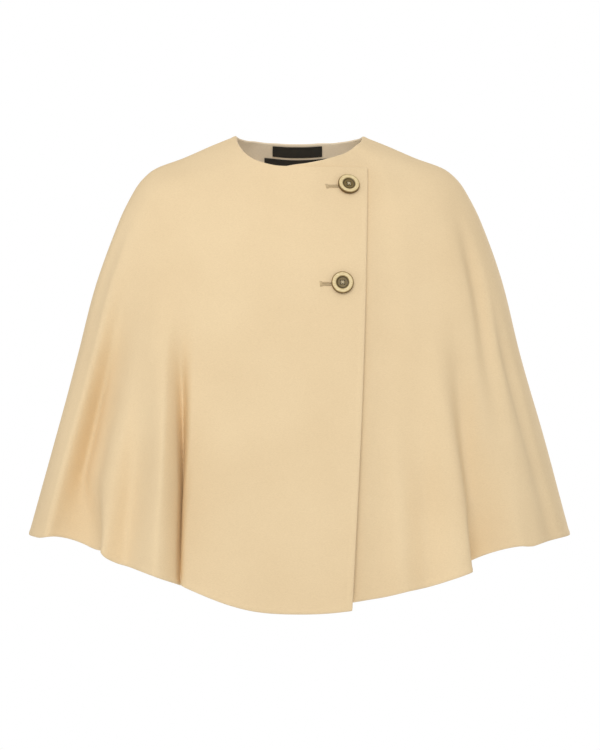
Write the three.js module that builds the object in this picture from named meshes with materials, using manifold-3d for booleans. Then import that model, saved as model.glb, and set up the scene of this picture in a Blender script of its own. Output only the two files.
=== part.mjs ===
// A short collarless wool cape, filled out as worn: two wrapped fronts, a back, two buttons and two
// bare labels. Millimetres, +Z up, the front faces -Y and +X is the wearer's left. The origin lies
// midway between the two side neck points, where the cape sits on the wearer's shoulders.
import * as THREE from "three";
import Module from "manifold-3d";
import { mergeVertices } from "three/addons/utils/BufferGeometryUtils.js";

// Driving dimensions
const WALL = 2.4; // double-faced wool coating
const SEAM_GAP = 0.3; // clear space between pieces that are sewn together
const LAYER_GAP = 1.2; // clear space between the two fronts where they wrap
const OVERLAP_TOP = 87; // the right front's edge, across from the centre line, at the neck
const OVERLAP_HEM = 64; // the same edge at the hem
const OVERLAP_BOW = 3; // how far the edge bows out on the way down
const NECK_CUT = 6.5; // how much lower the right front's neckline is cut than the left's
const NECK_CUT_REACH = 60; // degrees from the side seam over which that begins
const NECK_EASE = { by: 2.7, from: -34, to: 0 }; // how much of that cut is given back towards the centre
const NECK_LIFT = { by: 3.4, reach: 76 }; // how much higher the left front's neckline runs, out to a bearing
const UNDERLAP_FALL = 0.2; // how fast the left front's covered neckline falls, per degree past the centre
const UNDERLAP_LOW = 10; // how far it falls in all
const SIDE_SEAM = 90; // bearing, in degrees, of the seam along the shoulder and down the arm
const FRONT_LENGTH = 575; // neck to hem down the centre front, along the cloth
const BACK_LENGTH = 600; // the same down the centre back
const UNDER_RISE = { by: 11, from: 10, to: 36 }; // how much shorter the left front hangs, fading round
const UNDER_TUCK = 7; // how much deeper than one layer the left front runs under the edge at the hem
const TUCK_HOLD = 4; // degrees past the edge that the left front stays in
const TUCK_REACH = 12; // degrees after those over which it comes back out

const BUTTON = {
  diameter: 28,
  thickness: 4.6,
  rimRound: 1.9,
  wellDiameter: 15.2,
  wellDepth: 1.5,
  holes: 4,
  holeDiameter: 2.2,
  holeCircle: 6,
};
const BUTTON_PLACES = [
  { name: "button_upper", across: 62.1, height: -69.6 },
  { name: "button_lower", across: 53.7, height: -195.4 },
];

const LABEL_THICKNESS = 0.8;
// Labels inside the back of the neck, each by its width, its depth and the distance of its top edge from the
// back neckline along the cloth.
const LABELS = [
  { name: "label_upper", width: 66, depth: 15, below: 3.5 },
  { name: "label_lower", width: 88, depth: 42, below: 22 },
];
const LABEL_SHIFT = -3; // the labels sit this far off the centre line

// Rings of the cape from the neckline to the hem. `at` is the share of the way down the cloth. Each ring
// has its half width at the shoulder line, its depth before and behind that line, the height of its side,
// front and back, how sharply it falls towards the centre lines, and how square it is seen from above.
const RINGS = [
  { at: 0.0, half: 82, front: 78, back: 64, side: 0, low: -40.5, rear: -4.5, fall: 1.12, square: 2.0 },
  { at: 0.06, half: 115, front: 93, back: 86, side: -13, low: -77, rear: -36, fall: 1.4, square: 2.0 },
  { at: 0.12, half: 151, front: 106, back: 102, side: -29, low: -110, rear: -69, fall: 1.7, square: 2.05 },
  { at: 0.18, half: 187, front: 118, back: 112, side: -43, low: -143, rear: -104, fall: 1.9, square: 2.1 },
  { at: 0.215, half: 204, front: 124, back: 116, side: -57, low: -163, rear: -125, fall: 2.0, square: 2.1 },
  { at: 0.25, half: 216, front: 129, back: 119, side: -74, low: -182, rear: -146, fall: 2.1, square: 2.1 },
  { at: 0.32, half: 235, front: 136, back: 124, side: -112, low: -221, rear: -188, fall: 2.3, square: 2.15 },
  { at: 0.45, half: 263, front: 146, back: 132, side: -190, low: -296, rear: -265, fall: 2.7, square: 2.2 },
  { at: 0.6, half: 286, front: 156, back: 145, side: -281, low: -381, rear: -353, fall: 3.1, square: 2.2 },
  { at: 0.8, half: 319, front: 170, back: 163, side: -400, low: -494, rear: -472, fall: 3.6, square: 2.2 },
  { at: 1.0, half: 351, front: 186, back: 181, side: -517, low: -605, rear: -588, fall: 4.0, square: 2.2 },
];

// Folds, in degrees round from the centre front, negative towards the wearer's right. A fold runs from
// `from` to `to`, opens between the shares `top` and `full` of the way down, and stands `depth` millimetres
// out of the cloth or, if negative, into it. One with a `foot` is gone again there, and one with a `lean`
// leans that far round.
const FOLDS = [
  { name: "right chest hollow", from: -46, to: -46, top: 0.1, full: 0.27, foot: 0.55, depth: -7, spread: 20 },
  { name: "left chest hollow", from: 36, to: 36, top: 0.12, full: 0.33, foot: 0.6, depth: -7, spread: 20 },
  { name: "right arm trough", from: -54.5, to: -54, top: 0.3, full: 0.78, depth: -38, spread: 13.5, lean: -31 },
  { name: "right hem turn", from: -51, to: -51, top: 0.83, full: 1, depth: -4, spread: 12, lean: 32 },
  { name: "right arm ridge", from: -46, to: -42.5, top: 0.5, full: 0.9, depth: 8, spread: 5.5, lean: -6 },
  { name: "right side dent", from: -40, to: -37, top: 0.5, full: 0.85, depth: -8, spread: 5 },
  { name: "right front ridge", from: -40, to: -29.4, top: 0.36, full: 0.8, depth: 32, spread: 8, lean: 24 },
  { name: "right front trough", from: -33, to: -26.5, top: 0.38, full: 0.8, depth: -36, spread: 5, lean: 2 },
  { name: "right front swell", from: -22, to: -12, top: 0.4, full: 0.9, depth: 3, spread: 9 },
  { name: "left front swell", from: 22, to: 19, top: 0.45, full: 0.9, depth: 6, spread: 6 },
  { name: "left front trough", from: 28, to: 25.5, top: 0.5, full: 0.9, depth: -6, spread: 6 },
  { name: "left front ridge", from: 38, to: 32, top: 0.4, full: 0.85, depth: 16, spread: 8, lean: 5 },
  { name: "left side trough", from: 45, to: 42, top: 0.42, full: 0.85, depth: -15, spread: 9.5, lean: -8 },
  { name: "left hem turn", from: 42.5, to: 42.5, top: 0.84, full: 1, depth: -18, spread: 9, lean: -20 },
  { name: "left side ridge", from: 53, to: 48.5, top: 0.3, full: 0.8, depth: 5, spread: 8 },
  { name: "left arm crease", from: 64, to: 45.5, top: 0.24, full: 0.45, foot: 1.15, depth: -8, spread: 6.5 },
  { name: "left arm ridge", from: 60, to: 56, top: 0.35, full: 0.7, depth: 4, spread: 7 },
  { name: "left back trough", from: 112, to: 112, top: 0.35, full: 0.9, depth: -20, spread: 10 },
  { name: "left back ridge", from: 126, to: 127, top: 0.3, full: 0.9, depth: 18, spread: 11, lean: 6 },
  { name: "left back hollow", from: 139, to: 141, top: 0.25, full: 0.9, depth: -22, spread: 10 },
  { name: "left centre ridge", from: 154, to: 156, top: 0.32, full: 0.9, depth: 17, spread: 11 },
  { name: "centre back trough", from: 172, to: 171, top: 0.4, full: 0.95, depth: -17, spread: 10 },
  { name: "right centre ridge", from: 187, to: 186, top: 0.34, full: 0.9, depth: 15, spread: 10 },
  { name: "right centre trough", from: 203, to: 201, top: 0.28, full: 0.9, depth: -24, spread: 11 },
  { name: "right back ridge", from: 219, to: 217, top: 0.3, full: 0.9, depth: 19, spread: 11, lean: -6 },
  { name: "right back trough", from: 233, to: 232, top: 0.36, full: 0.9, depth: -19, spread: 9 },
  { name: "right back swell", from: 246, to: 246, top: 0.4, full: 0.9, depth: 14, spread: 9 },
];

// Where the hem hangs shorter than the rings say, in degrees round and millimetres up.
const HEM_RISES = [
  { name: "right front", at: -27, spread: 22, by: 11 },
  { name: "right arm trough", at: -58, spread: 14, by: 8 },
  { name: "right hem turn", at: -46, spread: 8, by: 10 },
  { name: "left side trough", at: 45, spread: 11, by: 12 },
];

// How finely the walls are divided
const ROWS = 22;
const ROW_EASE = 1.2; // above 1 the rows crowd towards the neck
const FRONT_COLUMNS = 46;
const BACK_COLUMNS = 60;
const LABEL_COLUMNS = 12;
const BUTTON_SIDES = 24;
const HOLE_SIDES = 8;
const NEAR = { bearing: 0.2, share: 0.002 }; // how far off the neighbours lie that give a direction
const AT_SEAM = 0.5; // degrees from a seam that count as its edge
const HEM_SAMPLES = 900; // steps in which the hem's length is measured

const CLOTH = new THREE.MeshStandardMaterial({ color: 0xecd3a8, roughness: 0.95, metalness: 0 });
const HORN = new THREE.MeshStandardMaterial({ color: 0xb29a68, roughness: 0.4, metalness: 0 });
const RIBBON = new THREE.MeshStandardMaterial({ color: 0x24221c, roughness: 0.7, metalness: 0 });

const wasm = await Module();
wasm.setup();

const radians = THREE.MathUtils.degToRad;
const smooth = THREE.MathUtils.smoothstep;
const mix = THREE.MathUtils.lerp;

// A ring column as a smooth function of the share of the way down.
function columnOf(key) {
  const slope = RINGS.map((ring, i) => {
    const before = RINGS[Math.max(i - 1, 0)];
    const after = RINGS[Math.min(i + 1, RINGS.length - 1)];
    return (after[key] - before[key]) / (after.at - before.at);
  });
  return (share) => {
    let i = 0;
    while (i < RINGS.length - 2 && share > RINGS[i + 1].at) i += 1;
    const span = RINGS[i + 1].at - RINGS[i].at;
    const s = (share - RINGS[i].at) / span;
    const bend = s * s * (3 - 2 * s);
    const start = slope[i] * span * (s * s * s - 2 * s * s + s);
    const end = slope[i + 1] * span * (s * s * s - s * s);
    return mix(RINGS[i][key], RINGS[i + 1][key], bend) + start + end;
  };
}

const ring = Object.fromEntries(Object.keys(RINGS[0]).map((key) => [key, columnOf(key)]));

// The cape without its folds: the point at a bearing, in degrees, and a share of the way down.
function form(bearing, share) {
  const angle = radians(bearing);
  const power = 2 / ring.square(share);
  const side = Math.sign(Math.sin(angle)) * Math.abs(Math.sin(angle)) ** power;
  const ahead = Math.abs(Math.cos(angle)) ** power;
  const fall = Math.abs(Math.cos(angle)) ** ring.fall(share);
  const before = Math.cos(angle) > 0;
  const depth = before ? -ring.front(share) : ring.back(share);
  const middle = before ? ring.low(share) : ring.rear(share);
  return new THREE.Vector3(ring.half(share) * side, depth * ahead, mix(ring.side(share), middle, fall));
}

// The direction out of a surface, and the direction round it, from its neighbouring points.
function directions(surface, bearing, share) {
  const round = surface(bearing + NEAR.bearing, share).sub(surface(bearing - NEAR.bearing, share));
  const down = surface(bearing, share + NEAR.share).sub(surface(bearing, share - NEAR.share));
  return { out: round.clone().cross(down).normalize().negate(), round: round.normalize() };
}

// A bump one high at its middle and gone one spread away, over an angle that may pass the centre back.
function bump(bearing, middle, spread) {
  const off = (((bearing - middle + 540) % 360) - 180) / spread;
  return Math.abs(off) < 1 ? 0.5 + 0.5 * Math.cos(Math.PI * off) : 0;
}

// How much sooner than the last ring the hem comes, as a share of the way down.
function hemRise(bearing) {
  const rises = HEM_RISES.map((rise) => rise.by * bump(bearing, rise.at, rise.spread));
  return rises.reduce((sum, rise) => sum + rise, 0) / FRONT_LENGTH;
}

// How far the folds move a point of the cape out of it and round it.
function foldAt(bearing, share) {
  const moved = { out: 0, round: 0 };
  for (const fold of FOLDS) {
    const along = THREE.MathUtils.clamp((share - fold.top) / (1 - fold.top), 0, 1);
    const swell = bump(bearing, mix(fold.from, fold.to, along), fold.spread);
    const closing = fold.foot ? smooth(share, fold.full, fold.foot) : 0;
    const open = smooth(share, fold.top, fold.full) * (1 - closing);
    moved.out += fold.depth * swell * open;
    moved.round += (fold.lean ?? 0) * swell * open;
  }
  return moved;
}

// The cape's outer face, folds included.
function cloth(bearing, share) {
  const { out, round } = directions(form, bearing, share);
  const moved = foldAt(bearing, share);
  return form(bearing, share).addScaledVector(out, moved.out).addScaledVector(round, moved.round);
}

// A point `inset` millimetres inside the cape's outer face. Both edges of a side seam take the seam's own
// direction, so that they stay parallel.
function inside(bearing, share, inset) {
  const seam = [SIDE_SEAM, -SIDE_SEAM, 360 - SIDE_SEAM].find((at) => Math.abs(at - bearing) < AT_SEAM);
  const { out } = directions(cloth, seam ?? bearing, share);
  return cloth(bearing, share).addScaledVector(out, -inset);
}

// The bearing of a point `across` millimetres from the centre line.
function bearingAcross(across, share) {
  const reach = (Math.abs(across) / ring.half(share)) ** (ring.square(share) / 2);
  return Math.sign(across) * THREE.MathUtils.radToDeg(Math.asin(Math.min(reach, 1)));
}

// The bearing of the overlapping front's edge.
function edgeBearing(share) {
  const across = mix(OVERLAP_TOP, OVERLAP_HEM, share) + OVERLAP_BOW * Math.sin(Math.PI * share);
  return bearingAcross(across, share);
}

// The share of the way down at which the cape reaches a height at a bearing.
function shareAtHeight(bearingOf, height) {
  let high = -0.02;
  let low = 0.6;
  for (let i = 0; i < 40; i += 1) {
    const middle = (high + low) / 2;
    if (cloth(bearingOf(middle), middle).z > height) high = middle;
    else low = middle;
  }
  return low;
}

// A closed wall between two grids of points, the outer one and the inner one.
function wallBetween(outer, inner) {
  const columns = outer.length;
  const rows = outer[0].length;
  const points = [...outer.flat(), ...inner.flat()];
  const index = [];
  const at = (layer, i, j) => layer * columns * rows + i * rows + j;
  const face = (a, b, c, d) => index.push(a, b, c, a, c, d);
  for (let i = 0; i + 1 < columns; i += 1) {
    for (let j = 0; j + 1 < rows; j += 1) {
      face(at(0, i, j), at(0, i, j + 1), at(0, i + 1, j + 1), at(0, i + 1, j));
      face(at(1, i, j), at(1, i + 1, j), at(1, i + 1, j + 1), at(1, i, j + 1));
    }
    face(at(0, i, 0), at(0, i + 1, 0), at(1, i + 1, 0), at(1, i, 0));
    face(at(0, i + 1, rows - 1), at(0, i, rows - 1), at(1, i, rows - 1), at(1, i + 1, rows - 1));
  }
  for (let j = 0; j + 1 < rows; j += 1) {
    face(at(0, 0, j + 1), at(0, 0, j), at(1, 0, j), at(1, 0, j + 1));
    face(at(0, columns - 1, j), at(0, columns - 1, j + 1), at(1, columns - 1, j + 1), at(1, columns - 1, j));
  }
  const geometry = new THREE.BufferGeometry().setFromPoints(points);
  geometry.setIndex(index);
  geometry.computeVertexNormals();
  return geometry;
}

// A wall over part of the cape: `place` gives the bearing and share of a grid point, `inset` how far inside
// the cape's outer face the wall's own outer face lies there.
function clothWall(columns, rows, thickness, place, inset) {
  const grid = (deeper) =>
    columns.map((u) =>
      rows.map((v) => {
        const { bearing, share } = place(u, v);
        return inside(bearing, share, inset(bearing, share) + deeper);
      }),
    );
  return wallBetween(grid(0), grid(thickness));
}

const steps = (count) => Array.from({ length: count + 1 }, (_, i) => i / count);

// Shares of the way round, from one bearing to another, that divide the folded hem evenly.
function evenSteps(count, start, end) {
  const fine = steps(HEM_SAMPLES);
  const hem = fine.map((part) => cloth(mix(start, end, part), 1));
  const length = [0];
  for (let i = 1; i < fine.length; i += 1) length.push(length[i - 1] + hem[i].distanceTo(hem[i - 1]));
  return steps(count).map((part) => fine[length.findIndex((l) => l >= part * length.at(-1) - 1e-9)]);
}

// Half a seam's clear space, in degrees at a share of the way down.
function seamDegrees(bearing, share) {
  const perDegree = form(bearing + 0.5, share).distanceTo(form(bearing - 0.5, share));
  return SEAM_GAP / 2 / perDegree;
}

// The right front's top edge runs level from the centre to its corner, this far down the cloth.
const TOP_EDGE = cloth(0, (NECK_CUT - NECK_EASE.by) / FRONT_LENGTH).z;
const CORNER_SHARE = shareAtHeight(edgeBearing, TOP_EDGE);

const rowShare = (v, top, bottom) => mix(top, bottom, v ** ROW_EASE);

// The right front, from the side seam to its free edge past the centre.
function rightFrontPlace() {
  const bearingOf = (u) => (share) => {
    const start = -SIDE_SEAM + seamDegrees(-SIDE_SEAM, share);
    return mix(start, edgeBearing(share), u);
  };
  const neckCut = (bearing) => {
    const cut = NECK_CUT * smooth(bearing + SIDE_SEAM, 0, NECK_CUT_REACH);
    return (cut - NECK_EASE.by * smooth(bearing, NECK_EASE.from, NECK_EASE.to)) / FRONT_LENGTH;
  };
  return (u, v) => {
    const bearing = bearingOf(u);
    const top = bearing(0) > 0 ? shareAtHeight(bearing, TOP_EDGE) : neckCut(bearing(0));
    const share = rowShare(v, top, 1 - hemRise(bearing(1)));
    return { bearing: bearing(share), share };
  };
}

// The left front, from its covered edge to the side seam.
function leftFrontPlace() {
  const bearingOf = (u) => (share) => {
    const end = SIDE_SEAM - seamDegrees(SIDE_SEAM, share);
    return mix(-edgeBearing(share), end, u);
  };
  const covered = (bearing) => cloth(0, 0).z - Math.min(-bearing * UNDERLAP_FALL, UNDERLAP_LOW);
  const neckLift = (bearing) => {
    const way = Math.min(bearing / NECK_LIFT.reach, 1);
    return (NECK_LIFT.by / FRONT_LENGTH) * Math.sin(Math.PI * way);
  };
  return (u, v) => {
    const bearing = bearingOf(u);
    const top = bearing(0) < 0 ? shareAtHeight(bearing, covered(bearing(0))) : -neckLift(bearing(0));
    const under = (UNDER_RISE.by / FRONT_LENGTH) * (1 - smooth(bearing(1), UNDER_RISE.from, UNDER_RISE.to));
    const share = rowShare(v, top, 1 - hemRise(bearing(1)) - under);
    return { bearing: bearing(share), share };
  };
}

// How far the left front lies inside the cape's outer face: a layer under the right front, out again past it.
function tuck(bearing, share) {
  const layer = WALL + LAYER_GAP + UNDER_TUCK * share;
  const release = edgeBearing(Math.max(share, CORNER_SHARE)) + TUCK_HOLD;
  return layer * (1 - smooth(bearing, release, release + TUCK_REACH));
}

const backRows = steps(ROWS).map((v) => rowShare(v, 0, 1));

// The back, from the left side seam round to the right one.
function backPlace(u, v) {
  const share = rowShare(v, 0, 1);
  const gap = seamDegrees(SIDE_SEAM, share);
  return { bearing: mix(SIDE_SEAM + gap, 360 - SIDE_SEAM - gap, u), share };
}

function panel(name, columns, place, inset) {
  const mesh = new THREE.Mesh(clothWall(columns, steps(ROWS), WALL, place, inset), CLOTH);
  mesh.name = name;
  return mesh;
}

// A point inside the back's outer face, on the straight stretch between two of its rows.
function onBack(bearing, share, inset) {
  const below = backRows.findIndex((row) => row > share);
  const [upper, lower] = [backRows[below - 1], backRows[below]];
  const part = (share - upper) / (lower - upper);
  return inside(bearing, upper, inset).lerp(inside(bearing, lower, inset), part);
}

// A bare label on the inside of the back, bent where the back bends.
function label({ name, width, depth, below }) {
  const top = below / BACK_LENGTH;
  const bottom = (below + depth) / BACK_LENGTH;
  const rows = [top, ...backRows.filter((row) => row > top && row < bottom), bottom];
  const grid = (inset) =>
    steps(LABEL_COLUMNS).map((u) =>
      rows.map((share) => {
        const bearing = 180 + bearingAcross(mix(-0.5, 0.5, u) * width - LABEL_SHIFT, share);
        return onBack(bearing, share, inset);
      }),
    );
  const lie = WALL + SEAM_GAP;
  const mesh = new THREE.Mesh(wallBetween(grid(lie), grid(lie + LABEL_THICKNESS)), RIBBON);
  mesh.name = name;
  return mesh;
}

// A closed geometry as a solid that can be cut, without the empty triangles a lathe leaves on its axis.
function solidOf(geometry) {
  geometry.deleteAttribute("normal");
  geometry.deleteAttribute("uv");
  const merged = mergeVertices(geometry, 1e-4);
  const corners = merged.index.array;
  const triangles = [];
  for (let i = 0; i < corners.length; i += 3) {
    const [a, b, c] = corners.slice(i, i + 3);
    if (a !== b && b !== c && c !== a) triangles.push(a, b, c);
  }
  const vertProperties = merged.attributes.position.array;
  const triVerts = new Uint32Array(triangles);
  return new wasm.Manifold(new wasm.Mesh({ numProp: 3, vertProperties, triVerts }));
}

function geometryOf(solid) {
  const mesh = solid.getMesh();
  const geometry = new THREE.BufferGeometry();
  geometry.setAttribute("position", new THREE.BufferAttribute(mesh.vertProperties, 3));
  geometry.setIndex(new THREE.BufferAttribute(mesh.triVerts, 1));
  geometry.computeVertexNormals();
  return geometry;
}

// The button's body, lathed round +Z with its back on z = 0: a round rim about a sunk middle.
function buttonBody() {
  const radius = BUTTON.diameter / 2;
  const well = BUTTON.wellDiameter / 2;
  const floor = BUTTON.thickness - BUTTON.wellDepth;
  const shoulder = radius - BUTTON.rimRound;
  const profile = new THREE.Path();
  profile.moveTo(0, 0);
  profile.lineTo(shoulder, 0);
  profile.absarc(shoulder, BUTTON.rimRound, BUTTON.rimRound, -Math.PI / 2, 0, false);
  profile.absarc(shoulder, BUTTON.thickness - BUTTON.rimRound, BUTTON.rimRound, 0, Math.PI / 2, false);
  profile.lineTo(well + BUTTON.wellDepth, BUTTON.thickness);
  profile.lineTo(well, floor);
  profile.lineTo(0, floor);
  const geometry = new THREE.LatheGeometry(profile.getPoints(3), BUTTON_SIDES);
  return geometry.rotateX(Math.PI / 2);
}

// The button with its holes for the thread.
function buttonGeometry() {
  let solid = solidOf(buttonBody());
  for (let i = 0; i < BUTTON.holes; i += 1) {
    const angle = ((i + 0.5) / BUTTON.holes) * 2 * Math.PI;
    const hole = new THREE.CylinderGeometry(
      BUTTON.holeDiameter / 2, BUTTON.holeDiameter / 2, 3 * BUTTON.thickness, HOLE_SIDES);
    hole.rotateX(Math.PI / 2);
    hole.translate((Math.cos(angle) * BUTTON.holeCircle) / 2, (Math.sin(angle) * BUTTON.holeCircle) / 2, 0);
    solid = solid.subtract(solidOf(hole));
  }
  return geometryOf(solid);
}

// A button laid on the right front at a place given across and up.
function button({ name, across, height }) {
  const bearingOf = (share) => bearingAcross(across, share);
  const share = shareAtHeight(bearingOf, height);
  const bearing = bearingOf(share);
  const { out } = directions(cloth, bearing, share);
  const mesh = new THREE.Mesh(buttonGeometry(), HORN);
  mesh.name = name;
  mesh.position.copy(cloth(bearing, share)).addScaledVector(out, SEAM_GAP);
  mesh.quaternion.setFromUnitVectors(new THREE.Vector3(0, 0, 1), out);
  return mesh;
}

const cape = new THREE.Group();
const edgeAtHem = edgeBearing(1);
const rightColumns = evenSteps(FRONT_COLUMNS, -SIDE_SEAM, edgeAtHem);
const leftColumns = evenSteps(FRONT_COLUMNS, -edgeAtHem, SIDE_SEAM);
const backColumns = evenSteps(BACK_COLUMNS, SIDE_SEAM, 360 - SIDE_SEAM);
cape.add(panel("right_front", rightColumns, rightFrontPlace(), () => 0));
cape.add(panel("left_front", leftColumns, leftFrontPlace(), tuck));
cape.add(panel("back", backColumns, backPlace, () => 0));
for (const place of BUTTON_PLACES) cape.add(button(place));
for (const size of LABELS) cape.add(label(size));

export default cape;
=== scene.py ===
"""A short collarless wool cape, filled out as worn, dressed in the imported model's frame.

Sizes in the tables are millimetres and become metres where meshes are made. +Z is up, the front faces -Y
and +X is the wearer's left. Bearings are degrees round from the centre front.
"""

import math

import bpy
import numpy as np
from mathutils import Matrix, Vector


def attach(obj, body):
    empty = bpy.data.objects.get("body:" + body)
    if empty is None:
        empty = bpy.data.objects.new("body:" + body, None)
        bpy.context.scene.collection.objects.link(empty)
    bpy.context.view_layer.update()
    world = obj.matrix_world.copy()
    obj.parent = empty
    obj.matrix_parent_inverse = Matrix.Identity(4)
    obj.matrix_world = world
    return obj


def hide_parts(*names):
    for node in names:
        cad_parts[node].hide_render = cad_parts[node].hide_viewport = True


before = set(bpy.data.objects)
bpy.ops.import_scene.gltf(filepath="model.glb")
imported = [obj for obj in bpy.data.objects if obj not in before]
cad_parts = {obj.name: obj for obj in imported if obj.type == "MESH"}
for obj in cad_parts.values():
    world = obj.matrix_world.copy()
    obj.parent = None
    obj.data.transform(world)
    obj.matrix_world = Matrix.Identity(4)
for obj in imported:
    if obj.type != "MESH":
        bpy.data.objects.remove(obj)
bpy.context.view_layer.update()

# Driving dimensions, as in the part's source
MM = 0.001
WALL = 2.4
SEAM_GAP = 0.3
LAYER_GAP = 1.2
OVERLAP_TOP = 87
OVERLAP_HEM = 64
OVERLAP_BOW = 3
NECK_CUT = 6.5
NECK_CUT_REACH = 60
NECK_EASE = {"by": 2.7, "from": -34, "to": 0}
NECK_LIFT = {"by": 3.4, "reach": 76}
UNDERLAP_FALL = 0.2
UNDERLAP_LOW = 10
SIDE_SEAM = 90
FRONT_LENGTH = 575
BACK_LENGTH = 600
UNDER_RISE = {"by": 11, "from": 10, "to": 36}
UNDER_TUCK = 7
TUCK_HOLD = 4
TUCK_REACH = 12

# Rings of the cape from the neckline to the hem, by the share of the way down the cloth
RING_COLUMNS = ("at", "half", "front", "back", "side", "low", "rear", "fall", "square")
RINGS = np.array([
    (0.0, 82, 78, 64, 0, -40.5, -4.5, 1.12, 2.0),
    (0.06, 115, 93, 86, -13, -77, -36, 1.4, 2.0),
    (0.12, 151, 106, 102, -29, -110, -69, 1.7, 2.05),
    (0.18, 187, 118, 112, -43, -143, -104, 1.9, 2.1),
    (0.215, 204, 124, 116, -57, -163, -125, 2.0, 2.1),
    (0.25, 216, 129, 119, -74, -182, -146, 2.1, 2.1),
    (0.32, 235, 136, 124, -112, -221, -188, 2.3, 2.15),
    (0.45, 263, 146, 132, -190, -296, -265, 2.7, 2.2),
    (0.6, 286, 156, 145, -281, -381, -353, 3.1, 2.2),
    (0.8, 319, 170, 163, -400, -494, -472, 3.6, 2.2),
    (1.0, 351, 186, 181, -517, -605, -588, 4.0, 2.2),
])

# The main folds: a fold runs from one bearing to another, opens between the shares top and full of the way
# down, is gone again at foot, stands depth out of the cloth, spreads so many degrees and leans so far round.
NO_FOOT = 9.0
FOLDS = [
    # from, to, top, full, foot, depth, spread, lean
    (-46, -46, 0.1, 0.27, 0.55, -7, 20, 0),  # right chest hollow
    (36, 36, 0.12, 0.33, 0.6, -7, 20, 0),  # left chest hollow
    (-54.5, -54, 0.3, 0.78, NO_FOOT, -38, 13.5, -31),  # right arm trough
    (-46, -42.5, 0.5, 0.9, NO_FOOT, 8, 5.5, -6),  # right arm ridge
    (-51, -51, 0.83, 1.0, NO_FOOT, -4, 12, 32),  # right hem turn
    (-40, -37, 0.5, 0.85, NO_FOOT, -8, 5, 0),  # right side dent
    (-40, -29.4, 0.36, 0.8, NO_FOOT, 32, 8, 24),  # right front ridge
    (-33, -26.5, 0.38, 0.8, NO_FOOT, -36, 5, 2),  # right front trough
    (-22, -12, 0.4, 0.9, NO_FOOT, 3, 9, 0),  # right front swell
    (22, 19, 0.45, 0.9, NO_FOOT, 6, 6, 0),  # left front swell
    (28, 25.5, 0.5, 0.9, NO_FOOT, -6, 6, 0),  # left front trough
    (38, 32, 0.4, 0.85, NO_FOOT, 16, 8, 5),  # left front ridge
    (45, 42, 0.42, 0.85, NO_FOOT, -15, 9.5, -8),  # left side trough
    (42.5, 42.5, 0.84, 1.0, NO_FOOT, -18, 9, -20),  # left hem turn
    (53, 48.5, 0.3, 0.8, NO_FOOT, 5, 8, 0),  # left side ridge
    (64, 45.5, 0.24, 0.45, 1.15, -8, 6.5, 0),  # left arm crease
    (60, 56, 0.35, 0.7, NO_FOOT, 4, 7, 0),  # left arm ridge
    (112, 112, 0.35, 0.9, NO_FOOT, -20, 10, 0),  # left back trough
    (126, 127, 0.3, 0.9, NO_FOOT, 18, 11, 6),  # left back ridge
    (139, 141, 0.25, 0.9, NO_FOOT, -22, 10, 0),  # left back hollow
    (154, 156, 0.32, 0.9, NO_FOOT, 17, 11, 0),  # left centre ridge
    (172, 171, 0.4, 0.95, NO_FOOT, -17, 10, 0),  # centre back trough
    (187, 186, 0.34, 0.9, NO_FOOT, 15, 10, 0),  # right centre ridge
    (203, 201, 0.28, 0.9, NO_FOOT, -24, 11, 0),  # right centre trough
    (219, 217, 0.3, 0.9, NO_FOOT, 19, 11, -6),  # right back ridge
    (233, 232, 0.36, 0.9, NO_FOOT, -19, 9, 0),  # right back trough
    (246, 246, 0.4, 0.9, NO_FOOT, 14, 9, 0),  # right back swell
]

# Softer creases that only the visual model has, in the same columns
CREASES = [
    (-72, -70, 0.22, 0.4, 0.8, -2.0, 7, 0),  # right upper arm
    (-64, -60, 0.3, 0.45, 0.75, 1.5, 6, 0),  # beside it
    (66, 66, 0.4, 0.65, NO_FOOT, -3.5, 6, 0),  # left arm
    (100, 104, 0.3, 0.6, NO_FOOT, -2.5, 6, 0),  # left side, behind the seam
    (258, 255, 0.28, 0.55, NO_FOOT, -2.5, 6, 0),  # right side, behind the seam
    (148, 150, 0.2, 0.5, NO_FOOT, -2.0, 5, 0),  # left shoulder blade
    (211, 209, 0.22, 0.5, NO_FOOT, -2.0, 5, 0),  # right shoulder blade
    (180, 179, 0.3, 0.6, 0.95, 1.8, 5, 0),  # beside the centre back
]

# Slow unevenness of the whole cloth: height, waves in a full turn, waves from neck to hem, phase
WAVES = [(0.35, 7, 1.6, 0.4), (0.3, 11, -2.3, 1.9), (0.22, 17, 3.1, 4.2)]

# Where the hem hangs shorter: bearing, spread and height
HEM_RISES = [(-27, 22, 11), (-58, 14, 8), (-46, 8, 10), (45, 11, 12)]

# Edges: how far they are rounded over, the soft roll beside a free one and the dip along a seam
EDGE_ROUND = 1.0
RIM_ROUNDNESS = 0.85
EDGE_ROLL = {"height": 0.4, "middle": 2.8, "spread": 4.5}
SEAM_DIP = {"height": -0.7, "middle": 0.0, "spread": 3.0}

# How finely the cloth is divided
ROW_STEP = 3.9
FRONT_STEP = 3.3
BACK_STEP = 3.8
EDGE_STEPS = (0.0, 0.7, 1.5, 2.5, 3.7, 5.2, 7.0, 9.2)
LABEL_STEP = {"across": 2.0, "down": 1.6}
SEAM_EDGE_STEPS = 4
HEM_SAMPLES = 1200
NEAR = {"bearing": 0.2, "share": 0.002}
AT_SEAM = 0.5
RIM_TURNS = (45, 90, 135)
# Where a height is looked for, as shares of the way down, and how often the range is halved
SEARCH = {"high": -0.02, "low": 0.6, "halvings": 40}
# The mesh value that is 0 on a sheet's outer face and 1 on its inner one
INNER_FACE = "inner_face"

BUTTON = {
    "diameter": 28,
    "thickness": 4.6,
    "rim_round": 1.9,
    "well": 15.2,
    "well_depth": 1.5,
    "hole": 2.2,
    "hole_circle": 6,
    "holes": 4,
}
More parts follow.
